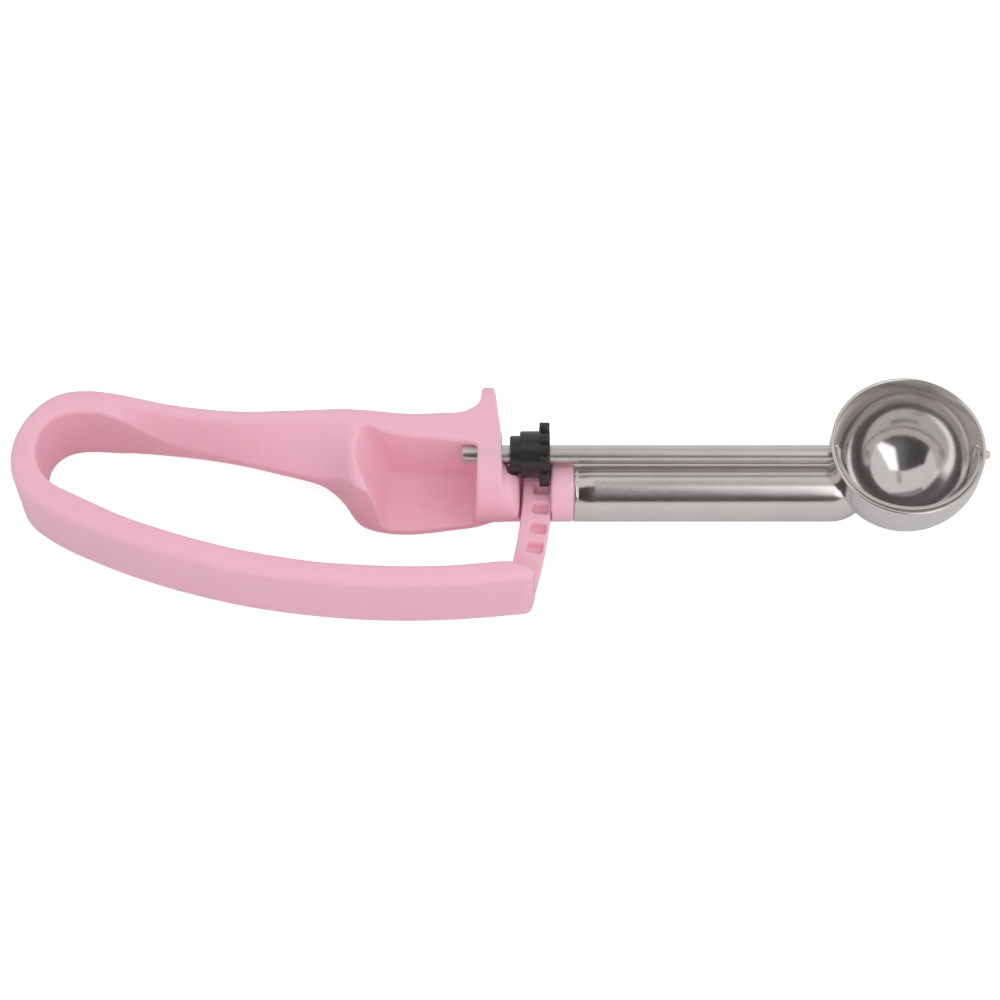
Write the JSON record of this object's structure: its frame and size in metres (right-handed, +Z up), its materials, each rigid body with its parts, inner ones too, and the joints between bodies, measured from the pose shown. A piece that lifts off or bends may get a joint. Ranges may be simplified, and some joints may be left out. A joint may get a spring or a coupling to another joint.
{
  "type": "ice cream scoop",
  "caption": "Squeeze-handle portion scoop with a one-piece sprung plastic handle whose curved rack turns a pinion, a rod and a scraper blade in a steel bowl.",
  "frame": {"origin": "middle of the object's box, on the surface that it lies on", "axes": "+X from the handle's loop to the bowl, along the steel tube; +Y towards the palm side of the handle; +Z up, out of the bowl's mouth"},
  "size_m": [0.2326, 0.054, 0.026],
  "materials": {
    "pink_plastic": "moulded, satin",
    "polished_steel": "polished stainless steel tube",
    "bowl_steel": "spun and polished stainless steel",
    "rod_steel": "ground stainless steel bar",
    "black_nylon": "moulded nylon"
  },
  "bodies": {
    "handle": {"handle_body": "pink_plastic", "spring_bend": "pink_plastic", "shank_tube": "polished_steel", "bowl": "bowl_steel"},
    "lever": {"squeeze_lever": "pink_plastic"},
    "spindle": {"spindle_rod": "rod_steel", "drive_pinion": "black_nylon", "scraper_blade": "bowl_steel", "pivot_rivet": "rod_steel"}
  },
  "joints": [
    {"name": "lever_squeeze", "type": "hinge", "parent": "handle", "child": "lever", "pos_m": [-0.11165, 0.00875, 0.011], "axis": [0, 0, 1], "range_deg": [0, 7.2], "stiffness_Nm_per_rad": 13, "deforming": ["spring_bend"]},
    {"name": "spindle_spin", "type": "hinge", "parent": "handle", "child": "spindle", "pos_m": [0.0962, 0.00875, 0.0183], "axis": [1, 0, 0], "range_deg": [0, 132.5]}
  ],
  "couplings": [
    {"joint": "spindle_spin", "follows": "lever_squeeze", "ratio": 18.367}
  ]
}
